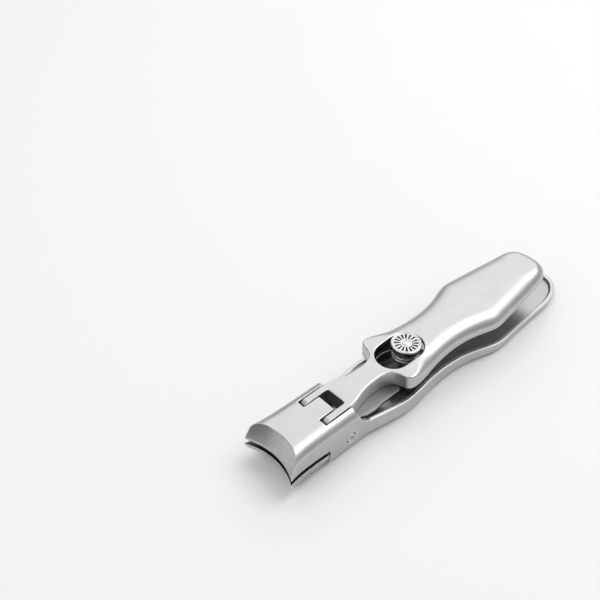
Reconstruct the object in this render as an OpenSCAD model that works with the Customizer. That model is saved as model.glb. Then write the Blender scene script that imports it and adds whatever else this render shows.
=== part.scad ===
// Slim plier-type nail clipper. One pressed frame is the upper jaw and the lower handle.
// The thumb lever carries the lower jaw and turns in the frame on one cross pin.
// A knob slides in a rail on the frame's floor and locks the lever down through a keyhole spring.
// Station s runs from the cutting corners (0) to the frame's rear end (overall_len).
// Everything on the lever is drawn level and then tilted about the pin by rest_tilt.

/* [Overall] */
// Length from the cutting corners to the frame's rear end
overall_len = 82; // [82:0.5:84]
// Thickness of the pressed sheet
sheet_t = 0.9; // [0.8:0.05:1]

/* [Head] */
// Height of the head's flat top over the table
head_top_z = 9.2; // [9:0.1:9.6]
// Thickness of the head's top plate
head_plate_t = 1.1; // [0.9:0.1:1.3]
// Station of the head's rear edge
head_rear_s = 17.3; // [17:0.1:17.6]
// Width of the rounding along the head's upper edges
head_edge_w = 2.6; // [2:0.1:3]
// Height of the rounding along the head's upper edges
head_edge_h = 2; // [1.6:0.1:2.4]
// Height of the upper cutting corners
cut_corner_z = 4.8; // [4.6:0.05:5]
// Height of the upright land under each hollow-ground face
land_h = 0.45; // [0.3:0.05:0.6]
// Radius of the hollow-ground front faces
face_r = 14; // [13:0.5:16]
// Lean of the front faces from upright
face_lean = 22; // [20:0.5:26]
// How far the middle of the edge lies behind its corners
edge_recess = 1.77; // [1.5:0.01:2]
// Depth of solid metal behind the upper face
front_block_s = 5.2; // [5:0.1:6]

/* [Jaw slit] */
// Height of the slit's upper edge at its rear end
slit_rear_z = 3.93; // [3.8:0.01:4]
// Station where the slit ends in the side wall
slit_rear_s = 10.3; // [10:0.1:10.5]

/* [Fork and window] */
// Station of the front of the two fork slots
slot_front_s = 10.8; // [10.6:0.1:11]
// Outer edge of a fork slot from the centre line
slot_outer_y = 3.78; // [3.7:0.02:3.85]
// Half width of the tongue between the fork slots
tongue_half_w = 2.05; // [1.9:0.05:2.1]
// Station of the tongue's rear edge
tongue_rear_s = 14.5; // [14:0.1:15]
// Station of the window's rear edge, in the lever
window_rear_s = 17.1; // [17:0.1:17.4]

/* [Frame tray] */
// Height of the rim where it leaves the head
rim_front_z = 4.5; // [4.2:0.1:4.8]
// Height of the rim at the rear end
rim_rear_z = 1.7; // [1.4:0.05:2]
// Radius of the frame's lower outer edge
tray_edge_r = 1.5; // [1:0.1:1.8]

/* [Lever] */
// Length from the prongs' tips to the lever's rear end
lever_len = 64.6; // [64:0.1:65]
// Depth of the lever's flange below its top face
flange_d = 3.1; // [2.9:0.1:3.2]
// Width of the rounding along the handle's upper edges
lever_edge_w = 3.4; // [2.6:0.1:3.6]
// Height of the rounding along the handle's upper edges
lever_edge_h = 2.2; // [1.8:0.1:2.4]
// Tilt of the lever as it lies locked
rest_tilt = 1.57; // [1.4:0.01:1.6]

/* [Pivot] */
// Station of the pivot pin
pin_s = 15.7; // [15.5:0.1:16]
// Height of the pivot pin
pin_z = 3.25; // [3.2:0.05:3.4]
// Radius of the pivot pin
pin_r = 1.15; // [1:0.05:1.2]

/* [Knob] */
// Station of the knob in its locked place
knob_s = 35.7; // [35.5:0.1:36]
// How far the knob slides towards the head
knob_travel = 3.7; // [3.5:0.1:3.7]
// Radius of the knob's disc
knob_r = 3.05; // [2.9:0.05:3.1]
// Height of the knob's top face
knob_top_z = 10.55; // [10.4:0.05:10.6]
// Number of rays pressed in the knob's face
ray_count = 16; // [12:1:18]

/* [Hidden] */
$fn = 48;

steel = [0.78, 0.78, 0.79];
blade_steel = [0.86, 0.86, 0.87];
spring_steel = [0.62, 0.62, 0.64];

hair = 0.01;                     // overlap that makes two unions share volume
wide = 20;                       // cutter size that is larger than the part
curve_steps = 2;                 // points per stretch of a smoothed outline
fillet_steps = 3;                // rings in a rounded edge
blank_front_s = -1.5;            // the frame's blank starts ahead of the hollow-ground faces
slit_slope = (cut_corner_z - slit_rear_z) / slit_rear_s;
tip_s = 11.2;                    // station of the prongs' tips
flange_z = head_top_z - flange_d;
plate_top_z = flange_z - 0.5;    // top of the jaw's plate, under the lever's neck
plate_t = 0.9;
lever_under_z = head_top_z - sheet_t;
inner_head_w = 5.62 - sheet_t;   // half the clear width between the head's walls
ear_half_w = 4.5;                // outer face of the jaw's ears
ear_inner_w = 2.2;
plate_half_w = 4.85;
washer_t = 0.15;
shaft_r = 1.2;                   // knob post
rail_top_z = 2.5;
rail_t = 0.5;
lip_s = 33.2;                    // station of the front of the rail's riveted lips
wire_r = 0.25;                   // lever spring wire
coil_r = 1.65;                   // lever spring, to the wire's middle
disc_t = 1.3;                    // knob disc
collar_r = 2.75;                 // ringed collar under the disc
collar_bottom_z = 7.2;
collar_top_z = 8.4;
hole_r = knob_r + 0.45;          // the lever's long hole round the knob

// Half outlines, from the front to the rear end: [station, half width]
frame_half = [[blank_front_s, 7], [0, 6.5], [1, 6.24], [2.6, 5.97], [5, 5.76], [8, 5.66], [12.5, 5.62],
    [17.3, 5.62], [20.4, 5.68], [23.8, 6.23], [27.1, 6.73], [29.8, 6.94], [32.9, 6.75], [36.2, 6.25],
    [40, 5.85], [43.4, 5.73], [46.3, 5.88], [49, 6.3], [51.5, 6.94], [54, 7.66], [56.1, 8.04],
    [58.6, 7.98], [64, 7.42], [72, 6.84], [75.4, 6.45], [78.4, 5.5], [80.6, 3.9],
    [overall_len - 0.3, 2.1], [overall_len, 0]];
lever_half = [[16.6, 3.6], [17.6, 3.6], [18.6, 3.47], [19.8, 3.15], [21.2, 2.72], [22.7, 2.4],
    [24.5, 2.24], [26.5, 2.27], [28, 2.62], [29, 3.35], [29.55, 4.4], [29.8, 5.5], [30.2, 6.28],
    [31, 6.72], [32.4, 6.82], [34.6, 6.55], [37.5, 5.97], [40.5, 5.53], [43.7, 5.35], [46.5, 5.47],
    [49, 5.83], [51.3, 6.42], [53.4, 7.06], [54.9, 7.44], [56.3, 7.45], [58, 7.26], [65, 6.38],
    [71.2, 5.48], [73.3, 4.93], [74.65, 3.95], [75.5, 2.4], [75.8, 0]];
// Height of the frame's rim along the handle
rim_line = [[20.5, rim_front_z], [24, rim_front_z - 0.2], [32, rim_front_z - 0.3], [36, rim_front_z - 0.45],
    [44, rim_front_z - 1], [56, rim_front_z - 1.75], [72, rim_rear_z + 0.3], [76, rim_rear_z + 0.15],
    [overall_len, rim_rear_z]];

// A point on the smooth curve through b and c, where a and d are the points beside them
function blend_point(a, b, c, d, t) =
    0.5 * (2 * b + (c - a) * t + (2 * a - 5 * b + 4 * c - d) * t * t
    + (3 * b - a - 3 * c + d) * t * t * t);
function smooth(p) = [for (i = [0 : len(p) - 2], k = [0 : curve_steps - 1])
    blend_point(p[max(i - 1, 0)], p[i], p[i + 1], i + 2 < len(p) ? p[i + 2] : [p[i][0], -p[i][1]],
        k / curve_steps)];
// Closed outline: the smoothed half, its last point and the mirrored half back to the front
function closed(p) = let (h = smooth(p), n = len(h))
    concat([for (i = [0 : n - 1]) [h[i][0], -h[i][1]]], [p[len(p) - 1]],
        [for (i = [n - 1 : -1 : 0]) h[i]]);
function unit(v) = v / norm(v);
// Inward normals of a closed outline that runs anticlockwise; the two front corners stay square
function inward(p, i) = let (n = len(p))
    i == 0 ? [1, 1] : i == n - 1 ? [1, -1]
    : let (t = unit(p[i + 1] - p[i - 1])) [-t[1], t[0]];

// Solid between rings: each ring is [inset, height] for every point of the outline
module loft(outline, rings) {
    n = len(outline);
    m = len(rings);
    points = [for (r = rings, i = [0 : n - 1])
        let (q = outline[i] + inward(outline, i) * r[i][0]) [q[0], q[1], r[i][1]]];
    sides = [for (k = [0 : m - 2], i = [0 : n - 1])
        let (a = k * n + i, b = k * n + (i + 1) % n) each [[a, a + n, b], [b, a + n, b + n]]];
    bottom = [for (i = [0 : n - 1]) i];
    top = [for (i = [n - 1 : -1 : 0]) (m - 1) * n + i];
    polyhedron(points, concat(sides, [bottom, top]), convexity = 10);
}
// Rings of a rounded edge, [width, height] at each point: up = 1 rounds the top at z, up = -1 the bottom
function rounded_rings(edges, z, up, base = 0) = [for (k = [0 : fillet_steps])
    let (a = 90 * (up > 0 ? k : fillet_steps - k) / fillet_steps)
    [for (e = edges) [base + e[0] * (1 - cos(a)), z - up * e[1] * (1 - sin(a))]]];
function same(n, v) = [for (i = [0 : n - 1]) v];

frame_outline = closed(frame_half);
lever_outline = closed(lever_half);
// The lever's upper edge is crisp along the neck, broad over the handle and tighter round the end
function eased(t) = t * t * (3 - 2 * t);
function between(s, a, b, from, to) = from + (to - from) * eased(max(0, min(1, (s - a) / (b - a))));
function lever_edge(s) = [between(s, 30, 38, 0.35, lever_edge_w) - between(s, 68, 73, 0, 1.1),
    between(s, 30, 38, 0.35, lever_edge_h)];
head_edge = [head_edge_w, head_edge_h];
function thinner(edge) = [max(edge[0] - sheet_t, 0.15), max(edge[1] - sheet_t, 0.15)];

// A prism whose side view is given as [station, height], centred on the centre line
module side_prism(shape, width) {
    rotate([90, 0, 0]) linear_extrude(width, center = true) polygon(shape);
}
module placed() {
    translate([-overall_len / 2, 0, 0]) children();
}
module on_lever() {
    placed() translate([pin_s, 0, pin_z]) rotate([0, -rest_tilt, 0])
        translate([-pin_s, 0, -pin_z]) children();
}
// The space in front of a jaw: a hollow-ground face that leans back from height z (upwards if
// lean > 0), and an upright land between it and the edge
module face_cutter(lean, z) {
    reach = face_r / cos(lean);
    land_r = face_r - 1;             // the two meet at the corners too
    translate([edge_recess - reach, 0, z]) rotate([0, lean, 0])
        cylinder(h = 2 * wide, r = face_r, center = true, $fn = 96);
    translate([edge_recess - land_r, 0, 0]) cylinder(h = 2 * wide, r = land_r, center = true, $fn = 96);
}

// ---- Frame: upper jaw, side walls and lower handle, pressed from one sheet ----
module frame_outside() {
    n = len(frame_outline);
    loft(frame_outline, concat(rounded_rings(same(n, [tray_edge_r, tray_edge_r]), 0, -1),
        rounded_rings(same(n, head_edge), head_top_z, 1)));
}
module frame_hollow() {
    half = concat([[front_block_s, 5.74]], [for (p = frame_half) if (p[0] > front_block_s + 1) p]);
    outline = closed(half);
    n = len(outline);
    inner_r = tray_edge_r - sheet_t;
    loft(outline, concat(rounded_rings(same(n, [inner_r, inner_r]), sheet_t, -1, sheet_t),
        rounded_rings(same(n, thinner(head_edge)), head_top_z - head_plate_t, 1, sheet_t)));
}
module above_rim() {
    side_prism([[head_rear_s, wide], [head_rear_s, head_top_z - 0.7], [head_rear_s + 0.35, 7.6],
        [head_rear_s + 0.95, 6.4], [head_rear_s + 1.7, 5.5], [head_rear_s + 2.4, 5.1],
        each rim_line, [overall_len + 2, rim_rear_z], [overall_len + 2, wide]], 2 * wide);
}
module fork_slots() {
    for (side = [-1, 1])
        translate([0, side * (slot_outer_y + tongue_half_w) / 2, 0])
            side_prism([[slot_front_s, head_top_z + 1], [slot_front_s, head_top_z],
                [slot_front_s - 0.8, head_top_z - head_plate_t - 0.1],
                [head_rear_s + 1, head_top_z - head_plate_t - 0.1], [head_rear_s + 1, head_top_z + 1]],
                slot_outer_y - tongue_half_w);
    translate([tongue_rear_s, -tongue_half_w - hair, head_top_z - head_plate_t - 0.1])
        cube([wide, 2 * (tongue_half_w + hair), 4]);
}
module below_slit() {
    side_prism([[-3, cut_corner_z + 3 * slit_slope], [slit_rear_s, slit_rear_z], [slit_rear_s, -1],
        [-3, -1]], 2 * wide);
}
module frame_blank() {
    resize([overall_len - blank_front_s, 0, 0]) difference() {
        frame_outside();
        frame_hollow();
        above_rim();
        below_slit();
        translate([blank_front_s - wide, -wide, -1]) cube([wide, 2 * wide, wide]);
    }
}
module frame_shell() {
    color(steel) placed() difference() {
        frame_blank();
        fork_slots();
        face_cutter(face_lean, cut_corner_z + land_h);
        // the underside is open ahead of the floor, where the jaw swings
        translate([front_block_s, -inner_head_w, -1]) cube([13 - front_block_s, 2 * inner_head_w, 3]);
        translate([pin_s, 0, pin_z]) rotate([90, 0, 0]) cylinder(h = wide, r = pin_r, center = true);
        rivet_places() translate([0, 0, -1]) cylinder(h = 4, r = 0.6);
    }
}
module rivet_places() {
    for (s = [lip_s + 1.2, lip_s + 4.8], y = [-3.1, 3.1]) translate([s, y, 0]) children();
}

// ---- Pivot ----
module pivot_pin() {
    color(steel) placed() translate([pin_s, 0, pin_z]) rotate([90, 0, 0]) union() {
        cylinder(h = 2 * 5.6, r = pin_r, center = true);
    }
}
module pivot_washer(side) {
    color(spring_steel) placed()
        translate([pin_s, side * (ear_half_w + (inner_head_w - ear_half_w) / 2), pin_z])
            rotate([90, 0, 0]) difference() {
                cylinder(h = washer_t, r = 1.8, center = true);
                cylinder(h = 1, r = pin_r + 0.05, center = true);
            }
}

// ---- Lever spring: a coil on the pin, one leg on the floor and one under the jaw's plate ----
coil_turns = 5;
coil_pitch = 0.56;
leg_up = 19.8;                   // slope of the leg under the jaw's plate
leg_down = 2.3;                  // slope of the leg on the floor
coil_sides = 8;
coil_steps = 20;
// Angle 0 points to the rear and -90 straight down, seen with the rear to the right
function coil_point(a, y) = [pin_s + coil_r * cos(a), y, pin_z + coil_r * sin(a)];
spring_path = let (first = -90 - leg_down, last = -90 + leg_up - 360 * coil_turns,
        width = coil_turns * coil_pitch, steps = coil_turns * coil_steps)
    concat(
        [[pin_s + 11.4, -width / 2, pin_z - coil_r - 11.4 * tan(leg_down)]],
        [for (i = [0 : steps]) coil_point(first + (last - first) * i / steps,
            -width / 2 + width * i / steps)],
        [[pin_s + 8.6, width / 2, pin_z - coil_r + 8.6 * tan(leg_up) - 0.03]]);
module swept_wire(path, r, sides) {
    n = len(path);
    function tangent(i) = unit(path[min(i + 1, n - 1)] - path[max(i - 1, 0)]);
    points = [for (i = [0 : n - 1]) let (t = tangent(i), u = unit(cross([0, 1, 0], t)), v = cross(t, u))
        for (k = [0 : sides - 1]) path[i] + r * (cos(360 * k / sides) * u + sin(360 * k / sides) * v)];
    skin = [for (i = [0 : n - 2], k = [0 : sides - 1])
        let (a = i * sides + k, b = i * sides + (k + 1) % sides)
        each [[a, a + sides, b], [b, a + sides, b + sides]]];
    polyhedron(points, concat(skin, [[for (k = [0 : sides - 1]) k],
        [for (k = [sides - 1 : -1 : 0]) (n - 1) * sides + k]]), convexity = 10);
}
module lever_spring() {
    color(spring_steel) placed() swept_wire(spring_path, wire_r, coil_sides);
}

// ---- Slide rail on the frame's floor ----
module slide_rail() {
    color(steel) placed() difference() {
        union() {
            translate([29.8, -2.6, sheet_t]) cube([9.4, 5.2, rail_top_z - sheet_t]);
            translate([lip_s, -4.1, sheet_t]) cube([6, 8.2, rail_t]);
        }
        translate([29, -2.1, sheet_t - hair]) cube([11, 4.2, rail_top_z - rail_t - sheet_t + hair]);
        hull() for (s = [knob_s - knob_travel, knob_s])
            translate([s, 0, 0]) cylinder(h = 5, r = shaft_r + 0.15);
        rivet_places() cylinder(h = 4, r = 0.6);
        rivet_places() translate([0, 0, sheet_t + rail_t]) cylinder(h = 1.5, r = 1);
    }
}
module rail_rivets() {
    color(spring_steel) placed() rivet_places() union() {
        translate([0, 0, 0.05]) cylinder(h = sheet_t + rail_t - 0.05, r = 0.6);
        translate([0, 0, sheet_t + rail_t]) cylinder(h = 0.3, r1 = 0.95, r2 = 0.6);
    }
}

// ---- Lever ----
// The flange is deeper along the neck, where it stands on the jaw's plate
function flange_bottom(s) = s < 28 ? plate_top_z : s > 30.5 ? flange_z
    : plate_top_z + (flange_z - plate_top_z) * (s - 28) / 2.5;
module lever_outside() {
    edges = [for (p = lever_outline) lever_edge(p[0])];
    loft(lever_outline, concat([[for (p = lever_outline) [0, flange_bottom(p[0])]]],
        rounded_rings(edges, head_top_z, 1)));
}
module lever_hollow() {
    half = concat([[18, 3.5]], [for (p = lever_half) if (p[0] > 18.5) p]);
    outline = closed(half);
    edges = [for (p = outline) thinner(lever_edge(p[0]))];
    loft(outline, concat([[for (p = outline) [sheet_t, plate_top_z - 1]]],
        rounded_rings(edges, lever_under_z, 1, sheet_t)));
}
module fork_prong(side) {
    prong_w = 1.4;
    bend_r = 1.2;
    ear_top = 5.2;
    top = head_top_z - 0.02;         // a little inside the plate it joins
    translate([0, side * (3.58 - prong_w / 2), 0])
        side_prism(concat(
            [for (a = [90 : 15 : 180]) [tip_s + bend_r + bend_r * cos(a), top - bend_r + bend_r * sin(a)]],
            [[tip_s, ear_top], [15, ear_top], [16.2, flange_z], [17.7, flange_z + 0.02], [17.7, top]]),
            prong_w);
}
module lever_blank() {
    translate([tip_s, 0, 0]) resize([lever_len, 0, 0]) translate([-tip_s, 0, 0]) difference() {
        union() {
            lever_outside();
            for (side = [-1, 1]) fork_prong(side);
        }
        lever_hollow();
    }
}
module thumb_lever() {
    color(steel) on_lever() difference() {
        lever_blank();
        translate([10, -2.2, flange_z - 2]) cube([window_rear_s - 10, 4.4, 8]);
        hull() for (s = [knob_s - knob_travel + 0.16, knob_s + 0.27])
            translate([s, 0, lever_under_z - 1]) cylinder(h = 4, r = hole_r);
    }
}

// ---- Lower jaw: blade, two ears on the pin and a plate under the lever's neck ----
jaw_top_z = 4.15;                // the jaw's edge corner with the lever level
module jaw_blade() {
    difference() {
        intersection() {
            linear_extrude(wide) polygon(frame_outline);
            side_prism([[-1, jaw_top_z + 0.09], [9.95, 3.2], [9.95, 2.1], [7.5, 2.2], [0.5, 2.4],
                [-1, 2.45]], 2 * wide);
        }
        face_cutter(-face_lean, jaw_top_z - land_h);
    }
}
module jaw_ear() {
    side_prism([[7.5, 2.3], [pin_s - 0.6, 1.34], [pin_s, pin_z], [18.6, 3.4],
        [20.4, plate_top_z - plate_t], [20.4, plate_top_z], [16.4, plate_top_z], [16.1, 5.9], [15, 5.2],
        [10.9, 5.2], [9.6, 3.5], [7.5, 3.2]], ear_half_w - ear_inner_w);
    translate([pin_s, 0, pin_z]) rotate([90, 0, 0])
        cylinder(h = ear_half_w - ear_inner_w, r = 2, center = true);
}
// The plate is as narrow as the ears inside the head and wider behind it
module jaw_plate() {
    translate([0, 0, plate_top_z - plate_t]) linear_extrude(plate_t)
        polygon([[17.9, -ear_half_w], [19.4, -ear_half_w], [22.4, -plate_half_w], [29.1, -plate_half_w],
            [29.6, -plate_half_w + 0.5], [29.6, plate_half_w - 0.5], [29.1, plate_half_w],
            [22.4, plate_half_w], [19.4, ear_half_w], [17.9, ear_half_w]]);
}
module lower_jaw() {
    color(blade_steel) on_lever() difference() {
        union() {
            jaw_blade();
            for (side = [-1, 1]) translate([0, side * (ear_half_w + ear_inner_w) / 2, 0]) jaw_ear();
            jaw_plate();
        }
        translate([pin_s, 0, pin_z]) rotate([90, 0, 0])
            cylinder(h = wide, r = pin_r + 0.04, center = true);
    }
}

// ---- Keyhole spring: closes the lever's channel round the knob ----
module keyhole_spring() {
    gap = 0.02;
    color(spring_steel) on_lever() difference() {
        intersection() {
            translate([29.3, -6, flange_z + 0.1]) cube([10.2, 12, 0.3]);
            linear_extrude(wide) offset(delta = -sheet_t - gap) polygon(lever_outline);
        }
        hull() for (s = [knob_s - knob_travel + 0.1, knob_s - knob_travel + 0.9])
            translate([s, 0, 0]) cylinder(h = wide, r = knob_r + 0.25);
        hull() for (s = [knob_s - knob_travel, knob_s + 0.1])
            translate([s, 0, 0]) cylinder(h = wide, r = shaft_r + 0.2);
    }
}

// ---- Knob ----
cap_bore_r = 0.9;
module knob_cap() {
    rim_r = 0.5;
    color(blade_steel) placed() translate([knob_s, 0, 0]) difference() {
        rotate_extrude() polygon(concat(
            [[cap_bore_r, collar_top_z], [collar_r - 0.2, collar_top_z],
            [collar_r - 0.2, knob_top_z - disc_t - 0.25], [knob_r, knob_top_z - disc_t]],
            [for (a = [0 : 15 : 90])
                [knob_r - rim_r + rim_r * cos(a), knob_top_z - rim_r + rim_r * sin(a)]],
            [[cap_bore_r, knob_top_z]]));
        for (i = [0 : ray_count - 1]) rotate(i * 360 / ray_count)
            translate([1.15, -0.13, knob_top_z - 0.22]) cube([1.2, 0.26, 1]);
    }
}
// The collar's lower flange is what the keyhole spring catches under
module knob_collar() {
    z = collar_bottom_z;
    color(blade_steel) placed() translate([knob_s, 0, 0]) rotate_extrude()
        polygon([[cap_bore_r, z], [collar_r, z], [collar_r, z + 0.45], [collar_r - 0.25, z + 0.55],
            [collar_r - 0.25, z + 0.75], [collar_r, z + 0.85], [collar_r, z + 1.1],
            [collar_r - 0.1, collar_top_z], [cap_bore_r, collar_top_z]]);
}
module knob_post() {
    color(steel) placed() translate([knob_s, 0, 0]) union() {
        translate([0, 0, 1.35]) cylinder(h = collar_bottom_z - 1.35, r = shaft_r);
        translate([0, 0, collar_bottom_z - hair])
            cylinder(h = knob_top_z - collar_bottom_z + hair, r = cap_bore_r);
        translate([0, 0, knob_top_z - hair]) cylinder(h = 0.12, r1 = cap_bore_r, r2 = cap_bore_r - 0.2);
    }
}
module slide_foot() {
    color(steel) placed() translate([knob_s, 0, 1.35]) difference() {
        translate([-2.2, -1.95, 0]) cube([4.4, 3.9, 0.6]);
        translate([0, 0, -1]) cylinder(h = 3, r = shaft_r);
    }
}
// A bowed strip that presses the foot against the rail
module drag_spring() {
    bow_r = 6.6;
    strip_t = 0.12;
    color(spring_steel) placed() translate([knob_s, 0, 1.33 - bow_r]) rotate([90, 0, 0])
        linear_extrude(2.4, center = true) intersection() {
            difference() {
                circle(r = bow_r, $fn = 96);
                circle(r = bow_r - strip_t, $fn = 96);
            }
            translate([-1.8, 0]) square([3.6, bow_r + 1]);
        }
}

frame_shell();
pivot_pin();
pivot_washer(1);  // pivot_washer_left
pivot_washer(-1);  // pivot_washer_right
lever_spring();
slide_rail();
rail_rivets();
thumb_lever();
lower_jaw();
keyhole_spring();
knob_cap();
knob_collar();
knob_post();
slide_foot();
drag_spring();
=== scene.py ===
"""Slim nail clipper with a sliding lock knob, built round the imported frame.

Sizes here are millimetres until a mesh is made. Station s runs from the cutting corners to the rear
end, so x = s - HALF. Each steel piece is a signed distance field (negative inside) that is turned
into a mesh: that gives every edge the small true rounding of pressed, tumbled sheet steel. Pieces
on the lever are drawn level and then tilted about the pivot pin, as the lever lies when locked.
"""

import math

import bpy
import numpy as np
from mathutils import Matrix, Vector


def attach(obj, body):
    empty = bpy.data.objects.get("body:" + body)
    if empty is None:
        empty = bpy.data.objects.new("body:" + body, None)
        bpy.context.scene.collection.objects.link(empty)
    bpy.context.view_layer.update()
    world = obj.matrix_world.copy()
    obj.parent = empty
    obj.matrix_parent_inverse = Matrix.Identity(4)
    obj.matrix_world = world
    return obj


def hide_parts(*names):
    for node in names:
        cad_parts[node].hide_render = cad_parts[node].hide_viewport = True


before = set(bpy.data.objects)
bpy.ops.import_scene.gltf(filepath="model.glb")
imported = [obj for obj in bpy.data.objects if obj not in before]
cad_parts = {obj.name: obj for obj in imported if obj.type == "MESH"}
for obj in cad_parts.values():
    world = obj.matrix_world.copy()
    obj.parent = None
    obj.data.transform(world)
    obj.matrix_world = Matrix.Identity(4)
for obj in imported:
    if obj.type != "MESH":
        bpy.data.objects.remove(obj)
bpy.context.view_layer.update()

MM = 0.001
HALF = 41.0                      # station of the frame's origin

# ---- Driving sizes, as in the CAD -------------------------------------------------------------
SHEET = 0.9                      # sheet thickness
HEAD_TOP = 9.2
HEAD_PLATE = 1.1
HEAD_REAR = 17.3
HEAD_EDGE = (2.6, 2.0)           # width and height of the head's rounded upper edges
TRAY_EDGE = 1.5
CORNER_Z = 4.8                   # upper cutting corners
LAND = 0.45
FACE_R = 14.0
FACE_LEAN = math.radians(22)
EDGE_RECESS = 1.77
FRONT_BLOCK = 5.2
SLIT_REAR = (10.3, 3.93)
SLOT_FRONT = 10.8
SLOT_OUTER = 3.78
TONGUE_HALF = 2.05
TONGUE_REAR = 14.5
WINDOW_REAR = 17.1
WINDOW_HALF = 2.2
LEVER_TOP = HEAD_TOP
FLANGE_Z = 6.1
PLATE_TOP = 5.6
PLATE = 0.9
PRONG_INNER, PRONG_OUTER = 2.18, 3.58
PRONG_BEND = 1.2                 # radius at the top of a prong's front end
PRONG_TIP = 11.2
EAR_TOP = 5.2                    # top of the lower jaw's ears, where the prongs rest
TILT = math.radians(1.57)
PIN = (15.7, 3.25)               # station and height of the pivot pin
PIN_R = 1.15
PIN_NECK = 0.22                  # how much thinner the pin's ends are
PIN_HALF = 5.6
KNOB_S = 35.7
KNOB_TRAVEL = 3.7
KNOB_R = 3.05
KNOB_TOP = 10.55
DISC = 1.3
COLLAR_R = 2.75
COLLAR_LOW, COLLAR_HIGH = 7.2, 8.4
HOLE_R = KNOB_R + 0.45
KEYHOLE_LEAF = 0.3
SHAFT_R = 1.2
FOOT_LOW, FOOT_HIGH = 1.35, 1.95
POST_R = 0.9                     # thin upper end of the post, in the knob
RAYS = 16
EAR_HALF, EAR_INNER = 4.5, 2.2
PLATE_HALF = 4.85
JAW_TOP = 4.15
INNER_HEAD = 4.72                # half the clear width between the head's walls
RAIL_TOP = 2.5
RAIL_SHEET = 0.5
RAIL_FRONT, RAIL_REAR = 29.8, 39.2
RAIL_HALF, LIP_HALF = 2.6, 4.1
RIVET_R = 0.61                   # the rivets' holes
LIP_S = 33.2                     # front of the rail's riveted lips
RIVETS = [(s, y) for s in (LIP_S + 1.2, LIP_S + 4.8) for y in (-3.1, 3.1)]

# Half outlines from the front to the rear end: station, half width
FRAME_HALF = [
    (-1.5, 7), (0, 6.5), (1, 6.24), (2.6, 5.97), (5, 5.76), (8, 5.66), (12.5, 5.62), (17.3, 5.62),
    (20.4, 5.68), (23.8, 6.23), (27.1, 6.73), (29.8, 6.94), (32.9, 6.75), (36.2, 6.25), (40, 5.85),
    (43.4, 5.73), (46.3, 5.88), (49, 6.3), (51.5, 6.94), (54, 7.66), (56.1, 8.04), (58.6, 7.98),
    (64, 7.42), (72, 6.84), (75.4, 6.45), (78.4, 5.5), (80.6, 3.9), (81.7, 2.1), (82, 0),
]
LEVER_HALF = [
    (16.6, 3.6), (17.6, 3.6), (18.6, 3.47), (19.8, 3.15), (21.2, 2.72), (22.7, 2.4), (24.5, 2.24),
    (26.5, 2.27), (28, 2.62), (29, 3.35), (29.55, 4.4), (29.8, 5.5), (30.2, 6.28), (31, 6.72),
    (32.4, 6.82), (34.6, 6.55), (37.5, 5.97), (40.5, 5.53), (43.7, 5.35), (46.5, 5.47), (49, 5.83),
    (51.3, 6.42), (53.4, 7.06), (54.9, 7.44), (56.3, 7.45), (58, 7.26), (65, 6.38), (71.2, 5.48),
    (73.3, 4.93), (74.65, 3.95), (75.5, 2.4), (75.8, 0),
]
# Height of the frame's rim, from the head's rear edge to the rear end
RIM = [
    (17.3, 8.5), (17.65, 7.6), (18.25, 6.4), (19, 5.5), (19.7, 5.1), (20.5, 4.5), (24, 4.3),
    (32, 4.2), (36, 4.05), (44, 3.5), (56, 2.75), (72, 2.0), (76, 1.85), (82, 1.7),
]


# ---- Outlines ---------------------------------------------------------------------------------
def catmull(a, b, c, d, t):
    """A point on the smooth curve through b and c; a and d are the points beside them."""
    return 0.5 * (2 * b + (c - a) * t + (2 * a - 5 * b + 4 * c - d) * t**2
                  + (3 * b - a - 3 * c + d) * t**3)


def smooth_half(half, steps=5):
    """The half outline with steps points per stretch; it crosses the centre line at its end."""
    p = np.array(half, float)
    mirrored = p[-2] * (1, -1)
    padded = np.vstack([p[0], p, mirrored])
    rows = [catmull(*padded[i:i + 4], k / steps) for i in range(len(p) - 1) for k in range(steps)]
    return np.vstack(rows + [p[-1]])


def closed(half):
    """The whole outline from its smoothed half, mirrored about the centre line."""
    line = smooth_half(half)
    return np.vstack([line * (1, -1), line[-2::-1]])


def polygon_distance(points, u, v):
    """Signed distance from (u, v) to a closed polygon, negative inside."""
    u, v = np.broadcast_arrays(np.float32(u), np.float32(v))
    nearest = np.full(u.shape, 1e9, np.float32)
    inside = np.zeros(u.shape, bool)
    points = np.array(points, np.float32)
    for (au, av), (bu, bv) in zip(points, np.roll(points, -1, axis=0)):
        eu, ev = bu - au, bv - av
        if eu == 0 and ev == 0:
            continue
        t = np.clip(((u - au) * eu + (v - av) * ev) / (eu * eu + ev * ev), 0, 1)
        np.minimum(nearest, (u - au - t * eu) ** 2 + (v - av - t * ev) ** 2, out=nearest)
        if ev != 0:
            inside ^= ((av > v) != (bv > v)) & (u < au + (v - av) * (eu / ev))
    return np.where(inside, -1, 1) * np.sqrt(nearest)


def from_pin(s, z):
    """Distance from the pivot pin's axis."""
    return np.hypot(s - PIN[0], z - PIN[1])


def from_knob(s, y):
    """Distance from the knob's axis."""
    return np.hypot(s - KNOB_S, y)


FRAME_PLAN = closed(FRAME_HALF)
LEVER_PLAN = closed(LEVER_HALF)


# ---- Fields -----------------------------------------------------------------------------------
def meet(a, b, r=0.0):
    """Where two solids overlap, with an edge rounded to radius r."""
    if r == 0:
        return np.maximum(a, b)
    return np.minimum(np.maximum(a, b), -r) + np.hypot(np.maximum(a + r, 0), np.maximum(b + r, 0))


def cut(a, b, r=0.0):
    """Solid a without solid b."""
    return meet(a, -b, r)


def join(a, b, r=0.0):
    """Both solids, with a fillet of radius r between them."""
    return -meet(-a, -b, r)


def between(value, low, high):
    """A slab: distance to low <= value <= high."""
    return np.maximum(low - value, value - high)


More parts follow.
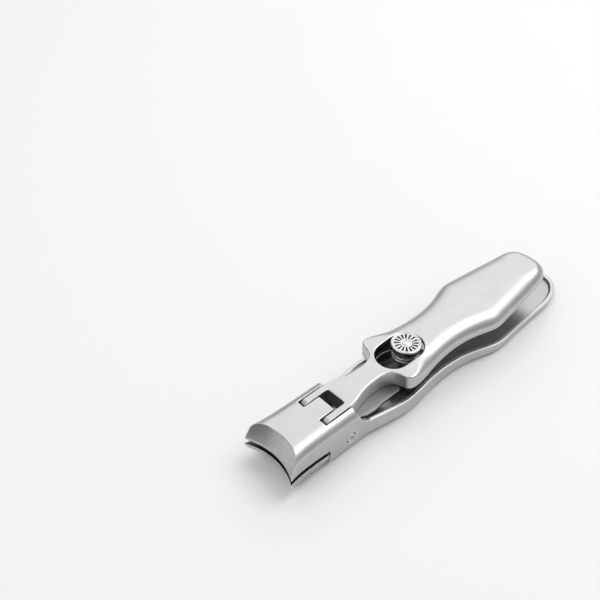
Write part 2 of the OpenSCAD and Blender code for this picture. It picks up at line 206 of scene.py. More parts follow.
def crowned(plan, top, width, height):
    """A solid inside plan and below top whose upper edge is a quarter ellipse."""
    across = np.maximum(plan / width + 1, 0)
    up = np.maximum(top / height + 1, 0)
    length = np.hypot(across, up)
    slope = np.maximum(np.hypot(across / width, up / height), 1e-6)
    return np.where(length > 0, (length - 1) * length / slope, np.maximum(plan, top))


def capsule(u, v, start, end, r):
    """Distance in the plan to the oblong between two round ends on the centre line."""
    return np.hypot(u - np.clip(u, start, end), v) - r


def ramp(s, start, end, low, high):
    """low up to start, high from end on, and a straight line between."""
    return low + (high - low) * np.clip((s - start) / (end - start), 0, 1)


def eased(s, start, end, low, high):
    """A ramp that starts and ends gently."""
    t = ramp(s, start, end, 0, 1)
    return low + (high - low) * t * t * (3 - 2 * t)


def hollow_ground(s, y, z, lean, height):
    """The space ahead of a jaw: a leaning hollow-ground face, and an upright land at the edge."""
    reach = FACE_R / math.cos(lean)
    ahead, up = s - (EDGE_RECESS - reach), z - height
    leaning = np.hypot(y, ahead * math.cos(lean) - up * math.sin(lean)) - FACE_R
    land_r = FACE_R - 1
    upright = np.hypot(y, s - (EDGE_RECESS - land_r)) - land_r
    return np.minimum(leaning, upright)


def frame_hollow(s, y, z):
    """The room inside the head and the tray."""
    inner_plan = meet(polygon_distance(FRAME_PLAN, s, y) + SHEET, FRONT_BLOCK + SHEET - s, 0.6)
    return np.maximum(
        crowned(inner_plan, z - (HEAD_TOP - HEAD_PLATE), HEAD_EDGE[0] - SHEET, HEAD_EDGE[1] - SHEET),
        meet(inner_plan, SHEET - z, TRAY_EDGE - SHEET))


def frame_field(s, y, z):
    """Upper jaw, side walls and tray, pressed from one sheet."""
    plan = polygon_distance(FRAME_PLAN, s, y)
    outside = np.maximum(crowned(plan, z - HEAD_TOP, *HEAD_EDGE), meet(plan, -z, TRAY_EDGE))
    shell = cut(outside, frame_hollow(s, y, z))
    above_rim = polygon_distance([(HEAD_REAR, 30)] + RIM + [(90, 1.6), (90, 30)], s, z)
    shell = cut(shell, above_rim, 0.22)
    slots = meet(np.abs(y) - SLOT_OUTER, polygon_distance(
        [(SLOT_FRONT, 12), (SLOT_FRONT, HEAD_TOP), (SLOT_FRONT - 0.8, HEAD_TOP - HEAD_PLATE - 0.1),
         (19, HEAD_TOP - HEAD_PLATE - 0.1), (19, 12)], s, z))
    tongue = meet(np.abs(y) - TONGUE_HALF, s - TONGUE_REAR, 0.2)
    shell = cut(shell, cut(slots, tongue), 0.07)
    slope = (CORNER_Z - SLIT_REAR[1]) / SLIT_REAR[0]
    below_slit = polygon_distance([(-3, CORNER_Z + 3 * slope), SLIT_REAR, (SLIT_REAR[0], -9),
                                   (-3, -9)], s, z)
    shell = cut(shell, below_slit, 0.08)
    underside = meet(meet(between(s, FRONT_BLOCK, 13), np.abs(y) - INNER_HEAD, 0), z - 2)
    shell = cut(shell, underside, 0.15)
    shell = cut(shell, from_pin(s, z) - PIN_R - 0.02, 0.08)
    for rivet_s, rivet_y in RIVETS:
        shell = cut(shell, meet(np.hypot(s - rivet_s, y - rivet_y) - RIVET_R, z - 1.5), 0.08)
    return cut(shell, hollow_ground(s, y, z, FACE_LEAN, CORNER_Z + LAND), 0.14)


def lever_opening(s, y, z):
    """The long opening that the knob stands in."""
    return capsule(s, y, KNOB_S - KNOB_TRAVEL + 0.16, KNOB_S + 0.27, HOLE_R)


def lever_edge(s):
    """Width and height of the rounding along the lever's upper edge, which grows past the neck."""
    width = eased(s, 30, 38, 0.35, 3.4) - eased(s, 68, 73, 0, 1.1)
    return width, eased(s, 30, 38, 0.35, 2.2)


def lever_hollow(s, y, z):
    """The room under the pressed handle."""
    width, height = lever_edge(s)
    inner_plan = meet(polygon_distance(LEVER_PLAN, s, y) + SHEET, 18 + SHEET - s, 0.5)
    return crowned(inner_plan, z - (LEVER_TOP - SHEET), np.maximum(width - SHEET, 0.15),
                   np.maximum(height - SHEET, 0.15))


def lever_field(s, y, z):
    """Thumb lever: pressed handle, neck and the two prongs that hook into the head's slots."""
    plan = polygon_distance(LEVER_PLAN, s, y)
    outside = crowned(plan, z - LEVER_TOP, *lever_edge(s))
    hollow = lever_hollow(s, y, z)
    flange = ramp(s, 28, 30.5, PLATE_TOP, FLANGE_Z)
    shell = meet(cut(outside, hollow), flange - z, 0.2)
    bend = PRONG_BEND
    side = [(PRONG_TIP + bend + bend * math.cos(a), LEVER_TOP - bend + bend * math.sin(a))
            for a in np.radians(range(90, 181, 10))]
    side += [(PRONG_TIP, EAR_TOP), (15, EAR_TOP), (16.2, FLANGE_Z), (17.7, FLANGE_Z),
             (17.7, LEVER_TOP)]
    prongs = meet(between(np.abs(y), PRONG_INNER, PRONG_OUTER), polygon_distance(side, s, z), 0.07)
    shell = join(shell, prongs)
    window = meet(meet(np.abs(y) - WINDOW_HALF, s - WINDOW_REAR, 0.35), between(z, FLANGE_Z - 2, 20))
    shell = cut(shell, window, 0.12)
    return cut(shell, meet(lever_opening(s, y, z), LEVER_TOP - SHEET - 1 - z), 0.26)


def jaw_field(s, y, z):
    """Lower jaw: blade, two ears on the pin and a plate under the lever's neck."""
    side = [(-1, JAW_TOP + 0.09), (9.95, 3.2), (9.95, 2.1), (7.5, 2.2), (0.5, 2.4), (-1, 2.45)]
    blade = meet(polygon_distance(FRAME_PLAN, s, y), polygon_distance(side, s, z), 0.06)
    blade = cut(blade, hollow_ground(s, y, z, -FACE_LEAN, JAW_TOP - LAND), 0.05)
    under = PLATE_TOP - PLATE
    side = [(7.5, 2.3), (PIN[0] - 0.6, 1.34), PIN, (18.6, 3.4), (20.4, under), (20.4, PLATE_TOP),
            (16.4, PLATE_TOP), (16.1, 5.9), (15, EAR_TOP), (10.9, EAR_TOP), (9.6, 3.5), (7.5, 3.2)]
    around_pin = from_pin(s, z)
    cheeks = join(polygon_distance(side, s, z), around_pin - 2, 0.3)
    ears = meet(between(np.abs(y), EAR_INNER, EAR_HALF), cheeks, 0.15)
    half = [(17.9, EAR_HALF), (19.4, EAR_HALF), (22.4, PLATE_HALF), (29.1, PLATE_HALF),
            (29.6, PLATE_HALF - 0.5)]
    outline = [(a, -b) for a, b in half] + half[::-1]
    plate = meet(polygon_distance(outline, s, y), between(z, under, PLATE_TOP), 0.12)
    jaw = join(join(blade, ears, 0.15), plate, 0.1)
    return cut(jaw, around_pin - PIN_R - 0.04, 0.08)


def keyhole_field(s, y, z):
    """Flat leaf in the lever whose keyhole closes round the knob's shaft."""
    low = FLANGE_Z + 0.1
    plan = meet(polygon_distance(LEVER_PLAN, s, y) + SHEET + 0.02, between(s, 29.3, 39.5), 0.3)
    locked = KNOB_S - KNOB_TRAVEL
    leaf = meet(plan, between(z, low, low + KEYHOLE_LEAF), 0.08)
    leaf = cut(leaf, capsule(s, y, locked + 0.1, locked + 0.9, KNOB_R + 0.25), 0.08)
    return cut(leaf, capsule(s, y, locked, KNOB_S + 0.1, SHAFT_R + 0.2), 0.08)


def rail_field(s, y, z):
    """Rail on the tray's floor that the knob's foot slides in."""
    lip_top = SHEET + RAIL_SHEET
    box_plan = meet(between(s, RAIL_FRONT, RAIL_REAR), np.abs(y) - RAIL_HALF, 0.3)
    box = meet(box_plan, between(z, SHEET, RAIL_TOP), 0.15)
    lip_plan = meet(between(s, LIP_S, RAIL_REAR), np.abs(y) - LIP_HALF, 0.3)
    lips = meet(lip_plan, between(z, SHEET, lip_top), 0.12)
    room = meet(np.abs(y) - (RAIL_HALF - RAIL_SHEET), z - (RAIL_TOP - RAIL_SHEET))
    rail = cut(join(box, lips, 0.12), room, 0.08)
    rail = cut(rail, capsule(s, y, KNOB_S - KNOB_TRAVEL, KNOB_S, SHAFT_R + 0.15), 0.1)
    for rivet_s, rivet_y in RIVETS:
        around = np.hypot(s - rivet_s, y - rivet_y)
        rail = cut(rail, around - RIVET_R, 0.05)
        rail = cut(rail, meet(around - 1, lip_top - z), 0.05)
    return rail


def pin_field(s, y, z):
    """Pivot pin, turned down a little at each end and dished in its end faces."""
    around, end = from_pin(s, z), np.abs(y)
    neck = meet(around - (PIN_R - PIN_NECK), end - PIN_HALF, 0.1)
    pin = join(meet(around - PIN_R, end - (PIN_HALF - 0.4)), neck)
    return cut(pin, meet(around - 0.6, PIN_HALF - 0.18 - end), 0.05)


def ray_grooves(s, y, z):
    """Wedge-shaped rays pressed in the knob's face."""
    away, turn = from_knob(s, y), np.arctan2(y, s - KNOB_S)
    pitch = 2 * math.pi / RAYS
    local = (turn + pitch / 2) % pitch - pitch / 2
    along, across = away * np.cos(local), np.abs(away * np.sin(local))
    half_width = ramp(along, 1.0, 2.35, 0.09, 0.24)
    return meet(meet(across - half_width, between(along, 1.12, 2.36), 0.06),
                KNOB_TOP - 0.3 + across * 0.7 - z)


def cap_field(s, y, z):
    """Knob disc with a raised rim and the rays round its middle."""
    away = from_knob(s, y)
    low = KNOB_TOP - DISC
    disc = meet(away - KNOB_R, between(z, low, KNOB_TOP), 0.3)
    disc = cut(disc, meet(away - 2.62, KNOB_TOP - 0.1 - z, 0.05), 0.08)
    neck = meet(away - (COLLAR_R - 0.2), between(z, COLLAR_HIGH, low + 0.2))
    cap = cut(join(disc, neck, 0.1), ray_grooves(s, y, z), 0.05)
    return cut(cap, away - POST_R, 0.03)


def collar_field(s, y, z):
    """Collar under the disc: two thin bright rings with a groove between them."""
    away = from_knob(s, y)
    collar = meet(away - COLLAR_R, between(z, COLLAR_LOW, COLLAR_HIGH), 0.14)
    groove = meet(COLLAR_R - 0.25 - away, between(z, COLLAR_LOW + 0.5, COLLAR_LOW + 0.8), 0.05)
    return cut(cut(collar, groove, 0.08), away - POST_R)


def post_field(s, y, z):
    """Post from the slide foot up to its riveted head in the knob's face."""
    away = from_knob(s, y)
    shaft = meet(away - SHAFT_R, between(z, FOOT_LOW, COLLAR_LOW), 0.05)
    neck = meet(away - POST_R, between(z, COLLAR_LOW - 0.1, KNOB_TOP - 0.05))
    head = meet(np.hypot(away, z - (KNOB_TOP - 2.6)) - 2.7, away - (POST_R - 0.08), 0.06)
    return join(join(shaft, neck), meet(head, KNOB_TOP - 0.3 - z))


def foot_field(s, y, z):
    """Foot of the knob, in the rail."""
    plan = meet(between(s, KNOB_S - 2.2, KNOB_S + 2.2), np.abs(y) - 1.95, 0.3)
    foot = meet(plan, between(z, FOOT_LOW, FOOT_HIGH), 0.08)
    return cut(foot, from_knob(s, y) - SHAFT_R)


# ---- Field to mesh ----------------------------------------------------------------------------
FLAT_ANGLE = math.radians(0.7)   # a triangle closer than this to level or upright is taken as such
STRAY_ANGLE = math.radians(9)    # how far a long triangle's corner normal may differ from its middle
LONG_SIDE = 3                    # length of a long triangle, in grid steps
MARGIN = 3                       # grid steps round a piece
ON_FACE = 0.8                    # how near a face a corner has to lie, in grid steps
# Past this curvature an edge is fully polished and fully painted lighter as a highlight.
POLISH_SHEEN_BEND = 8                    # curvature, per mm, of a fully polished edge
CORNERS = np.array([(i, j, k) for i in (0, 1) for j in (0, 1) for k in (0, 1)])
CELL_EDGES = [(a, b) for a in range(8) for b in range(a + 1, 8)
              if np.abs(CORNERS[a] - CORNERS[b]).sum() == 1]


def cells_crossed(values):
    """Cells that the surface passes through, and the mean of its crossings in each."""
    inside = values < 0
    count = sum(inside[i:i + values.shape[0] - 1, j:j + values.shape[1] - 1,
                       k:k + values.shape[2] - 1].astype(np.int8) for i, j, k in CORNERS)
    cells = np.argwhere((count > 0) & (count < 8))
    at = [values[tuple((cells + corner).T)] for corner in CORNERS]
    total = np.zeros(cells.shape)
    hits = np.zeros(len(cells))
    for a, b in CELL_EDGES:
        crossed = (at[a] < 0) != (at[b] < 0)
        t = np.where(crossed, at[a] / np.where(crossed, at[a] - at[b], 1), 0)
        spot = CORNERS[a] + t[:, None] * (CORNERS[b] - CORNERS[a])
        total += spot * crossed[:, None]
        hits += crossed
    return cells, cells + total / hits[:, None]


def quads_between(values, cells):
    """One quad round each grid edge that crosses the surface, facing out."""
    index = np.full(values.shape, -1, np.int32)
    index[tuple(cells.T)] = np.arange(len(cells))
    inside = values < 0
    quads = []
    for axis in range(3):
        one, two = [np.eye(3, dtype=int)[(axis + n) % 3] for n in (1, 2)]
        low = np.take(inside, range(values.shape[axis] - 1), axis)
        high = np.take(inside, range(1, values.shape[axis]), axis)
        edges = np.argwhere(low != high)
        outward = low[tuple(edges.T)]
        ring = [index[tuple((edges - step).T)] for step in (one + two, two, 0 * one, one)]
        quad = np.stack(ring, axis=1)
        quad[~outward] = quad[~outward][:, ::-1]
        quads.append(quad)
    return np.vstack(quads)


def sampled(grids, spots):
    """Trilinear values of several grids at points given in grid units."""
    shape = np.array(grids[0].shape)
    base = np.clip(np.floor(spots).astype(int), 0, shape - 2)
    part = spots - base
    out = [np.zeros(len(spots)) for _ in grids]
    for corner in CORNERS:
        weight = np.prod(np.where(corner, part, 1 - part), axis=1)
        where = tuple((base + corner).T)
        for total, grid in zip(out, grids):
            total += weight * grid[where]
    return out


def settle(spots, values, slopes, turns=2):
    """Moves points on to the surface; returns them with their outward normals."""
    for _ in range(turns):
        value, *slope = sampled([values, *slopes], spots)
        slope = np.stack(slope, axis=1)
        square = np.maximum((slope**2).sum(axis=1), 1e-3)
        step = -(value / square)[:, None] * slope
        spots = spots + np.clip(step, -0.7, 0.7)
    slope = np.stack(sampled(slopes, spots), axis=1)
    return spots, slope / np.maximum(np.linalg.norm(slope, axis=1), 1e-6)[:, None]


def mesh_from(name, points, faces):
    """A mesh of faces that all have the same number of corners."""
    mesh = bpy.data.meshes.new(name)
    mesh.vertices.add(len(points))
    mesh.vertices.foreach_set("co", np.float32(points).ravel())
    sides = faces.shape[1]
    mesh.loops.add(faces.size)
    mesh.loops.foreach_set("vertex_index", np.int32(faces).ravel())
    mesh.polygons.add(len(faces))
    mesh.polygons.foreach_set("loop_start", np.arange(0, faces.size, sides, dtype=np.int32))
    mesh.update(calc_edges=True)
    mesh.validate()
    return mesh


def thinned(name, mesh, keep):
    """The mesh with only a share of its triangles, dense where it is curved."""
    holder = bpy.data.objects.new(name + "_raw", mesh)
    bpy.context.scene.collection.objects.link(holder)
    holder.modifiers.new("triangles", "TRIANGULATE")
    holder.modifiers.new("thin", "DECIMATE").ratio = keep
    graph = bpy.context.evaluated_depsgraph_get()
    result = bpy.data.meshes.new_from_object(holder.evaluated_get(graph))
    bpy.data.objects.remove(holder)
    bpy.data.meshes.remove(mesh)
    result.name = name
    return result


def coords(mesh):
    """The mesh's points, one row each."""
    flat = np.empty(len(mesh.vertices) * 3, np.float32)
    mesh.vertices.foreach_get("co", flat)
    return flat.reshape(-1, 3).astype(float)


def mesh_corners(mesh):
    """The three vertex numbers of each triangle."""
    corners = np.empty(len(mesh.loops), np.int32)
    mesh.loops.foreach_get("vertex_index", corners)
    return corners.reshape(-1, 3)


def tilted(points, about_pin):
    """Points, or directions when about_pin is False, turned from level to the lever's rest."""
    pivot = np.array([PIN[0], 0, PIN[1]]) if about_pin else np.zeros(3)
    turn = np.array(Matrix.Rotation(-TILT, 3, "Y"))
    return (points - pivot) @ turn.T + pivot


def add_piece(name, mesh, body, nodes, materials):
    """An object that rides on a body in place of its CAD nodes."""
    piece = bpy.data.objects.new(name, mesh)
    bpy.context.scene.collection.objects.link(piece)
    for material in materials:
        mesh.materials.append(material)
    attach(piece, body)
    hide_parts(*nodes)


def carve(name, field, low, high, step, body, nodes, material, keep=0.5, level=False,
          faces_like=()):
    """A piece from a distance field in the box low..high. level: drawn level, then tilted.

    faces_like holds pairs of a distance and the material of the faces on its zero surface.
    """
    low, high = np.array(low, float) - MARGIN * step, np.array(high, float) + MARGIN * step
    axes = [np.arange(a, b + step, step, dtype=np.float32) for a, b in zip(low, high)]
    values = np.float32(field(axes[0][:, None, None], axes[1][None, :, None], axes[2][None, None, :]))
    values = np.ascontiguousarray(np.broadcast_to(values, [len(a) for a in axes])) / step
    cells, spots = cells_crossed(values)
    faces = quads_between(values, cells)
    slopes = np.gradient(values)
    spots, _ = settle(spots, values, slopes)
    mesh = thinned(name, mesh_from(name, spots, faces), keep)
    spots, normals = settle(coords(mesh), values, slopes, 1)
    # Convexity at each corner: the mask for polished edges and for their painted highlight.
    bend = sum(np.gradient(slope, axis=axis) for axis, slope in enumerate(slopes)) / step
    edge = np.clip(sampled([bend], spots)[0] / POLISH_SHEEN_BEND, 0, 1)
    points = low + spots * step
    chosen = np.zeros(len(mesh.polygons), np.int32)
    for index, (distance, _) in enumerate(faces_like, 1):
        on_face = np.abs(distance(*points.T)) < step * ON_FACE
        chosen[on_face[mesh_corners(mesh)].all(axis=1)] = index
    mesh.polygons.foreach_set("material_index", chosen)
    normals, plain = corner_normals(mesh, spots, normals, slopes)
    edge = np.where(plain, 0, edge[mesh_corners(mesh)].ravel())
    if level:
        points, normals = tilted(points, True), tilted(normals, False)
    mesh.vertices.foreach_set("co", np.float32((points - (HALF, 0, 0)) * MM).ravel())
    mesh.attributes.new("edge", "FLOAT", "CORNER").data.foreach_set("value", np.float32(edge))
    mesh.update()
    mesh.shade_smooth()
    mesh.normals_split_custom_set(np.float32(normals))
    add_piece(name, mesh, body, nodes, [material] + [m for _, m in faces_like])


def corner_normals(mesh, spots, normals, slopes):
    """The surface's normal at each corner of each triangle, and which corners lie on a plain face.

    The field's own direction at a triangle's middle decides what it belongs to. A long triangle
    that only touches a rounded edge keeps that direction, a level triangle is shaded level, and an
    upright one upright, so flats stay flat right up to their edges.
    """
    triangles = mesh_corners(mesh)
    a, b, c = (spots[triangles[:, n]] for n in range(3))
    middle = np.stack(sampled(slopes, (a + b + c) / 3), axis=1)
    middle /= np.maximum(np.linalg.norm(middle, axis=1), 1e-9)[:, None]
    longest = np.max([np.linalg.norm(p - q, axis=1) for p, q in ((a, b), (b, c), (c, a))], axis=0)
    chosen = normals[triangles]
    strays = (chosen * middle[:, None, :]).sum(axis=2) < math.cos(STRAY_ANGLE)
    strays &= (longest > LONG_SIDE)[:, None]
    strays |= (np.abs(middle[:, 2]) > math.cos(FLAT_ANGLE))[:, None]
    plain = strays | (longest > LONG_SIDE)[:, None]
    chosen = np.where(strays[:, :, None], middle[:, None, :], chosen)
    chosen[np.abs(middle[:, 2]) < math.sin(FLAT_ANGLE), :, 2] = 0
    chosen /= np.maximum(np.linalg.norm(chosen, axis=2), 1e-9)[:, :, None]
    return chosen.reshape(-1, 3), plain.ravel()


# ---- Materials --------------------------------------------------------------------------------
class Shader:
    """Short calls for a node tree with one Principled shader."""

    def __init__(self, name):
        self.material = bpy.data.materials.new(name)
        self.material.use_nodes = True
        self.tree = self.material.node_tree
        self.bsdf = self.tree.nodes["Principled BSDF"]
        self.place = self.node("ShaderNodeTexCoord").outputs["Object"]

    def node(self, kind, **settings):
        made = self.tree.nodes.new(kind)
        for key, value in settings.items():
            setattr(made, key, value)
        return made

    def link(self, out, into):
        self.tree.links.new(out, into)

    def noise(self, scale, stretch=(1, 1, 1), detail=4, rough=0.55):
        """Noise whose features are 1 / scale metres across, stretched along each axis."""
        mapping = self.node("ShaderNodeMapping")
        mapping.inputs["Scale"].default_value = [scale / n for n in stretch]
        self.link(self.place, mapping.inputs["Vector"])
        noise = self.node("ShaderNodeTexNoise")
        noise.inputs["Scale"].default_value = 1
        noise.inputs["Detail"].default_value = detail
        noise.inputs["Roughness"].default_value = rough
        self.link(mapping.outputs[0], noise.inputs["Vector"])
        return noise.outputs["Fac"]

    def remap(self, value, low, high, to_low, to_high):
        """value carried from low..high to to_low..to_high, and held at the ends."""
        ranged = self.node("ShaderNodeMapRange")
        for key, number in zip(("From Min", "From Max", "To Min", "To Max"),
                               (low, high, to_low, to_high)):
            ranged.inputs[key].default_value = number
        self.link(value, ranged.inputs["Value"])
        return ranged.outputs["Result"]

    def math(self, operation, a, b):
        """One sum on two sockets or numbers."""
        made = self.node("ShaderNodeMath", operation=operation)
        for socket, value in zip(made.inputs, (a, b)):
            if isinstance(value, (int, float)):
                socket.default_value = value
            else:
                self.link(value, socket)
        return made.outputs[0]

    def blend(self, factor, one, two):
        """A colour between one and two; each is a colour or a socket."""
        mix = self.node("ShaderNodeMix", data_type="RGBA")
        self.link(factor, mix.inputs["Factor"])
        for socket, colour in zip(("A", "B"), (one, two)):
            chosen = [s for s in mix.inputs if s.name == socket and s.type == "RGBA"][0]
            if isinstance(colour, tuple):
                chosen.default_value = (*colour, 1)
            else:
                self.link(colour, chosen)
        return [s for s in mix.outputs if s.type == "RGBA"][0]

    def bump(self, height, distance, after=None):
        """A surface normal raised by height, up to distance metres."""
        made = self.node("ShaderNodeBump")
        made.inputs["Distance"].default_value = distance
        made.inputs["Strength"].default_value = 1.0
        self.link(height, made.inputs["Height"])
        if after:
            self.link(after, made.inputs["Normal"])
        return made.outputs["Normal"]

    def edge(self):
        """How sharply convex the surface is here: 1 on a polished edge, whose tone the steels also paint
        lighter as a highlight.
        """
        made = self.node("ShaderNodeAttribute", attribute_name="edge")
        return made.outputs["Fac"]

    def done(self, colour, roughness, normal):
        """The finished metal. normal may be None on a smooth surface."""
        self.bsdf.inputs["Metallic"].default_value = 1.0
        self.link(colour, self.bsdf.inputs["Base Color"])
        self.link(roughness, self.bsdf.inputs["Roughness"])
        if normal:
            self.link(normal, self.bsdf.inputs["Normal"])
        return self.material


def satin_steel():
    """Bead-blasted and lightly brushed sheet, polished where the tumbling wears its edges; there its
    tone is also painted lighter as a highlight.
    """
    m = Shader("satin_steel")
    cloud = m.noise(260)
    grain = m.noise(9000, detail=2)
    brush = m.noise(5200, stretch=(26, 1, 1), detail=3)
    polish_and_sheen = m.edge()
    tone = m.blend(m.remap(cloud, 0.3, 0.7, 0, 1), (0.5, 0.5, 0.505), (0.55, 0.55, 0.555))
    # Edges are painted lighter in tone as a painted highlight; the roughness drop below is the real
    # polish.
    tone = m.blend(m.math("MULTIPLY", polish_and_sheen, 0.8), tone, (0.92, 0.92, 0.925))
    rough = m.math("ADD", m.remap(cloud, 0.3, 0.7, 0.35, 0.41), m.remap(grain, 0.3, 0.7, -0.03, 0.03))
    rough = m.math("SUBTRACT", rough, m.math("MULTIPLY", polish_and_sheen, 0.12))
    normal = m.bump(brush, 0.000004)
    normal = m.bump(grain, 0.000006, after=normal)
    return m.done(tone, rough, normal)


def ground_steel(name, lines, rough_low=0.2, rough_high=0.3, depth=0.000003):
    """Ground and lapped blade steel; lines is the stretch of its grinding marks."""
    m = Shader(name)
    marks = m.noise(7000, stretch=lines, detail=3)
    cloud = m.noise(300)
    tone = m.blend(m.remap(cloud, 0.3, 0.7, 0, 1), (0.44, 0.44, 0.45), (0.52, 0.52, 0.53))
    # Sharp edges painted lighter in tone: a painted highlight.
    tone = m.blend(m.edge(), tone, (0.93, 0.93, 0.935))
    rough = m.remap(marks, 0.3, 0.7, rough_low, rough_high)
    return m.done(tone, rough, m.bump(marks, depth))


def dull_painted_shade_steel(name, low, high, rough_low=0.38, rough_high=0.5, depth=0.000003):
    """Dull steel in a darker tone that is painted shade, for faces in recesses, in openings and under
    other parts.
    """
    m = Shader(name)
    cloud = m.noise(400, detail=1)
    tone = m.blend(m.remap(cloud, 0.2, 0.8, 0, 1), (low, low, low * 1.02), (high, high, high * 1.02))
    rough = m.remap(cloud, 0.2, 0.8, rough_low, rough_high)
    return m.done(tone, rough, m.bump(m.noise(6000), depth) if depth else None)


TURNING_PITCH = 0.00012          # metres between two turning marks


def turned_steel(name, tone_low, tone_high, rough_low, rough_high):
    """Lathe-turned steel with faint rings round the knob's axis."""
    m = Shader(name)
    apart = m.node("ShaderNodeSeparateXYZ")
    m.link(m.place, apart.inputs[0])
    ahead = m.math("SUBTRACT", apart.outputs["X"], (KNOB_S - HALF) * MM)
    squares = [m.math("MULTIPLY", v, v) for v in (ahead, apart.outputs["Y"])]
    away = m.math("SQRT", m.math("ADD", *squares), 0)
    rings = m.math("SINE", m.math("MULTIPLY", away, 2 * math.pi / TURNING_PITCH), 0)
    fine = m.noise(8000, detail=2)
    tone = m.blend(m.remap(fine, 0.3, 0.7, 0, 1), (tone_low,) * 3, (tone_high,) * 3)
    # Sharp edges painted lighter in tone: a painted highlight.
    tone = m.blend(m.edge(), tone, (0.95, 0.95, 0.955))
    rough = m.remap(m.noise(900), 0.3, 0.7, rough_low, rough_high)
    normal = m.bump(rings, 0.0000015)
    return m.done(tone, rough, m.bump(fine, 0.000003, after=normal))


def dark_spring_steel():
    """Rolled spring strip and drawn wire: darker, with drawing lines along it."""
    m = Shader("spring_steel")
    drawn = m.noise(6000, stretch=(18, 1, 1), detail=3)
    tone = m.blend(m.remap(drawn, 0.3, 0.7, 0, 1), (0.3, 0.3, 0.305), (0.42, 0.42, 0.425))
    rough = m.remap(m.noise(700), 0.3, 0.7, 0.24, 0.36)
    return m.done(tone, rough, m.bump(drawn, 0.000004))


def floor_material():
    """Matt white paper."""
    m = Shader("pale_floor")
    m.bsdf.inputs["Base Color"].default_value = (0.97, 0.97, 0.97, 1)
    m.bsdf.inputs["Roughness"].default_value = 0.7
    m.bsdf.inputs["Specular IOR Level"].default_value = 0.2
    return m.material


# ---- Camera, floor and light ------------------------------------------------------------------
CAMERA_PLACE = (-103.76, -77.83, 132.83)
CAMERA_DOWN = 0.7321532          # radians below level
CAMERA_BEARING = 0.7375026       # radians from +Y towards +X
FLOOR_HALF, FLOOR_LOW = 1500, -0.02
FLAG_AHEAD, FLAG_FAR, FLAG_NEAR, FLAG_HIGH = -62, -130, 9, 60
FLAG_TONE = 0.14
SOFTBOXES = [                    # name, direction, distance and size in metres, watts
    ("key", (0.5, -0.17, 0.85), 0.55, 0.3, 0.85),
    ("top", (0.5, 0.45, 0.72), 0.7, 0.7, 1.5),
    ("front", (-0.6, 0.1, 0.8), 0.6, 0.4, 0.6),
]
# Height of a direction (0 level, 1 overhead) and how bright the room is there
WORLD_TONES = [(0.0, 0.12), (0.3, 0.26), (0.55, 0.45), (1.0, 0.5)]
WORLD_RIGHT = (0.8, 0.2)         # how fast the room brightens towards +X, and towards -Y
BACKDROP_TONE = 0.62


def add_camera():
    """At the height and bearing the object was seen from, looking down its length."""
    down, bearing = CAMERA_DOWN, CAMERA_BEARING
    right = Vector((math.cos(bearing), -math.sin(bearing), 0))
    ahead = Vector((math.sin(bearing) * math.cos(down), math.cos(bearing) * math.cos(down),
                    -math.sin(down)))
    camera = bpy.data.objects.new("camera", bpy.data.cameras.new("camera"))
    bpy.context.scene.collection.objects.link(camera)
    turn = Matrix((right, right.cross(ahead), -ahead)).transposed()
    camera.matrix_world = Matrix.Translation(Vector(CAMERA_PLACE) * MM) @ turn.to_4x4()
    camera.data.lens = 54
    camera.data.sensor_width = 36
    camera.data.clip_start = 0.001
    bpy.context.scene.camera = camera


def add_card(name, corners, material):
    """A flat four-cornered piece of the studio; its corners are in millimetres."""
    mesh = bpy.data.meshes.new(name)
    mesh.from_pydata([Vector(corner) * MM for corner in corners], [], [(0, 1, 2, 3)])
    mesh.materials.append(material)
    card = bpy.data.objects.new(name, mesh)
    bpy.context.scene.collection.objects.link(card)
    return card


def add_floor():
    """A plain pale floor, a hair below the clipper."""
    half, low = FLOOR_HALF, FLOOR_LOW
    add_card("floor", [(-half, -half, low), (half, -half, low), (half, half, low), (-half, half, low)],
             floor_material())


def add_softbox(name, towards, distance, size, watts):
    """A square area light in the direction towards, facing the object."""
    light = bpy.data.lights.new(name, "AREA")
    light.size = size
    light.energy = watts
    lamp = bpy.data.objects.new(name, light)
    bpy.context.scene.collection.objects.link(lamp)
    direction = Vector(towards).normalized()
    lamp.matrix_world = (Matrix.Translation(direction * distance)
                         @ direction.to_track_quat("Z", "Y").to_matrix().to_4x4())


def add_flag():
    """A dark card in front of the jaws, seen only as a reflection in the ground faces."""
    dark = Shader("flag_dark")
    dark.bsdf.inputs["Base Color"].default_value = (FLAG_TONE, FLAG_TONE, FLAG_TONE, 1)
    dark.bsdf.inputs["Roughness"].default_value = 1
    corners = [(FLAG_FAR, 0), (FLAG_NEAR, 0), (FLAG_NEAR, FLAG_HIGH), (FLAG_FAR, FLAG_HIGH)]
    flag = add_card("flag", [(FLAG_AHEAD, y, z) for y, z in corners], dark.material)
    flag.visible_camera = False
    flag.visible_diffuse = False
    flag.visible_shadow = False


